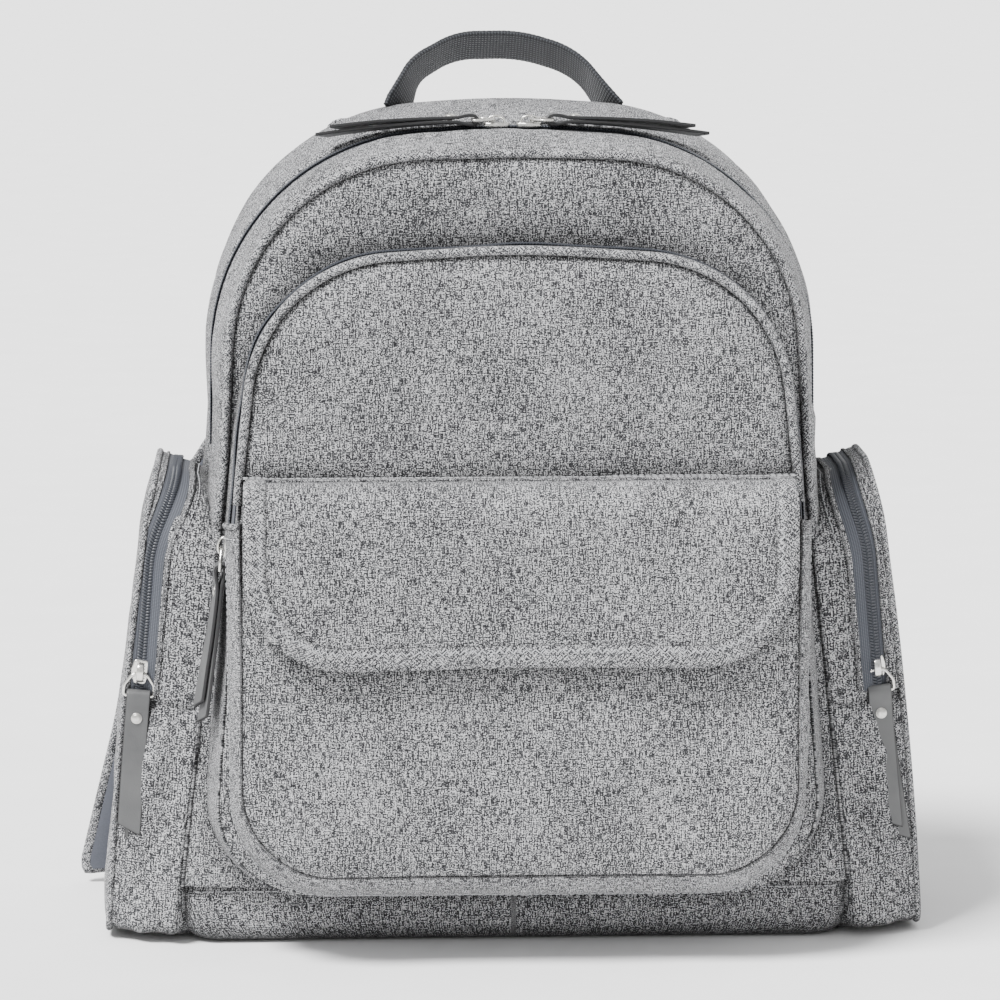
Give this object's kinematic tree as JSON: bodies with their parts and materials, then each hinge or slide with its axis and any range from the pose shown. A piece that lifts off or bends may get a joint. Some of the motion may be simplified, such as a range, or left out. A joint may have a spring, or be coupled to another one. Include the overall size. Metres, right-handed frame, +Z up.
{
  "type": "diaper backpack",
  "caption": "Soft diaper backpack with an arched zip top, arched zip pocket, flap pocket, two zip side pockets, carry handle and padded shoulder straps.",
  "frame": {"origin": "middle of the base, on the floor it stands on", "axes": "+Z up, the front with the flap faces -Y, +X to the right seen from the front"},
  "size_m": [0.4218, 0.2103, 0.4383],
  "materials": {
    "shell_fabric": "heather woven polyester, matt",
    "back_mesh": "spacer mesh over foam",
    "bias_binding": "bias-cut heather binding",
    "lining_fabric": "plain woven lining",
    "foam": "closed-cell foam",
    "base_board": "matt board",
    "zip_tape": "herringbone tape",
    "zip_coil": "satin nylon coil",
    "zip_metal": "satin nickel plate",
    "snap_metal": "satin nickel plate",
    "rivet_metal": "satin",
    "pull_leather": "smooth matt grain, dark cut edges",
    "strap_fabric": "heather outer, slate inner",
    "webbing": "ribbed polyester webbing",
    "buckle_plastic": "satin moulded"
  },
  "bodies": {
    "bag": {"back_padding": "foam", "back_panel": "back_mesh", "base_board": "base_board", "base_panel": "shell_fabric", "flap_hem": "shell_fabric", "front_gusset": "shell_fabric", "front_panel": "shell_fabric", "front_piping": "bias_binding", "lining": "lining_fabric", "lower_pocket_front": "shell_fabric", "lower_pocket_gusset": "shell_fabric", "main_zip_coil": "zip_coil", "main_zip_tape": "zip_tape", "middle_pocket_gusset": "shell_fabric", "middle_pocket_panel": "shell_fabric", "middle_pocket_piping": "bias_binding", "middle_zip_coil": "zip_coil", "middle_zip_tape": "zip_tape", "rear_gusset": "shell_fabric", "side_pocket_left_gusset": "shell_fabric", "side_pocket_left_panel": "shell_fabric", "side_pocket_right_gusset": "shell_fabric", "side_pocket_right_panel": "shell_fabric", "side_zip_coils": "zip_coil", "side_zip_tapes": "zip_tape", "snap_socket": "snap_metal", "strap_tabs": "webbing", "strap_yoke": "shell_fabric"},
    "main_left_slider": {"main_left_slider": "zip_metal"},
    "main_left_ring": {"main_left_ring": "zip_metal"},
    "main_left_pull": {"main_left_pull": "pull_leather", "main_left_rivet": "rivet_metal"},
    "main_right_slider": {"main_right_slider": "zip_metal"},
    "main_right_ring": {"main_right_ring": "zip_metal"},
    "main_right_pull": {"main_right_pull": "pull_leather", "main_right_rivet": "rivet_metal"},
    "middle_slider": {"middle_slider": "zip_metal"},
    "middle_ring": {"middle_ring": "zip_metal"},
    "middle_pull": {"middle_pull": "pull_leather", "middle_rivet": "rivet_metal"},
    "side_left_slider": {"side_left_slider": "zip_metal"},
    "side_left_ring": {"side_left_ring": "zip_metal"},
    "side_left_pull": {"side_left_pull": "pull_leather", "side_left_rivet": "rivet_metal"},
    "side_right_slider": {"side_right_slider": "zip_metal"},
    "side_right_ring": {"side_right_ring": "zip_metal"},
    "side_right_pull": {"side_right_pull": "pull_leather", "side_right_rivet": "rivet_metal"},
    "flap": {"flap": "shell_fabric", "flap_binding": "bias_binding", "snap_stud": "snap_metal"},
    "handle": {"carry_handle": "webbing"},
    "strap_left": {"strap_left_pad": "strap_fabric", "strap_left_adjuster": "buckle_plastic", "strap_left_webbing": "webbing"},
    "strap_right": {"strap_right_pad": "strap_fabric", "strap_right_adjuster": "buckle_plastic", "strap_right_webbing": "webbing"}
  },
  "joints": [
    {"name": "main_left_zip", "type": "slide", "parent": "bag", "child": "main_left_slider", "axis": [-1, 0, 0], "range_m": [0, 0.028]},
    {"name": "main_left_ring_swing", "type": "hinge", "parent": "main_left_slider", "child": "main_left_ring", "pos_m": [-0.0096, -0.015, 0.4027], "axis": [0, 1, 0], "range_deg": [0, 60]},
    {"name": "main_left_pull_swing", "type": "hinge", "parent": "main_left_ring", "child": "main_left_pull", "pos_m": [-0.0196, -0.015, 0.4027], "axis": [0, 1, 0], "range_deg": [0, 25]},
    {"name": "main_right_zip", "type": "slide", "parent": "bag", "child": "main_right_slider", "axis": [1, 0, 0], "range_m": [0, 0.028]},
    {"name": "main_right_ring_swing", "type": "hinge", "parent": "main_right_slider", "child": "main_right_ring", "pos_m": [0.0096, -0.015, 0.4027], "axis": [0, -1, 0], "range_deg": [0, 60]},
    {"name": "main_right_pull_swing", "type": "hinge", "parent": "main_right_ring", "child": "main_right_pull", "pos_m": [0.0196, -0.015, 0.4027], "axis": [0, -1, 0], "range_deg": [0, 25]},
    {"name": "middle_zip", "type": "slide", "parent": "bag", "child": "middle_slider", "axis": [0.0804, 0, 0.9968], "range_m": [0, 0.085]},
    {"name": "middle_ring_swing", "type": "hinge", "parent": "middle_slider", "child": "middle_ring", "pos_m": [-0.14102, -0.0755, 0.20078], "axis": [0, 1, 0], "range_deg": [0, 80]},
    {"name": "middle_pull_swing", "type": "hinge", "parent": "middle_ring", "child": "middle_pull", "pos_m": [-0.14182, -0.0755, 0.19081], "axis": [0, 1, 0], "range_deg": [0, 60]},
    {"name": "side_left_zip", "type": "slide", "parent": "bag", "child": "side_left_slider", "axis": [0.0901, 0, 0.9959], "range_m": [0, 0.064]},
    {"name": "side_left_ring_swing", "type": "hinge", "parent": "side_left_slider", "child": "side_left_ring", "pos_m": [-0.18397, -0.0527, 0.13412], "axis": [-0.9959, 0, 0.0901], "range_deg": [0, 80]},
    {"name": "side_left_pull_swing", "type": "hinge", "parent": "side_left_ring", "child": "side_left_pull", "pos_m": [-0.18487, -0.0527, 0.12416], "axis": [-0.9959, 0, 0.0901], "range_deg": [0, 60]},
    {"name": "side_right_zip", "type": "slide", "parent": "bag", "child": "side_right_slider", "axis": [-0.0901, 0, 0.9959], "range_m": [0, 0.064]},
    {"name": "side_right_ring_swing", "type": "hinge", "parent": "side_right_slider", "child": "side_right_ring", "pos_m": [0.18397, -0.0527, 0.13412], "axis": [-0.9959, 0, -0.0901], "range_deg": [0, 80]},
    {"name": "side_right_pull_swing", "type": "hinge", "parent": "side_right_ring", "child": "side_right_pull", "pos_m": [0.18487, -0.0527, 0.12416], "axis": [-0.9959, 0, -0.0901], "range_deg": [0, 60]},
    {"name": "flap_lift", "type": "hinge", "parent": "bag", "child": "flap", "pos_m": [0, -0.1, 0.2365], "axis": [-1, 0, 0], "range_deg": [0, 140]},
    {"name": "handle_tilt", "type": "hinge", "parent": "bag", "child": "handle", "pos_m": [0, 0.0645, 0.4074], "axis": [1, 0, 0], "range_deg": [-45, 15], "stiffness_Nm_per_rad": 0.06},
    {"name": "strap_left_swing", "type": "hinge", "parent": "bag", "child": "strap_left", "pos_m": [0, 0.0665, 0.388], "axis": [1, 0, 0], "range_deg": [0, 25]},
    {"name": "strap_right_swing", "type": "hinge", "parent": "bag", "child": "strap_right", "pos_m": [0, 0.0665, 0.388], "axis": [1, 0, 0], "range_deg": [0, 25]}
  ]
}
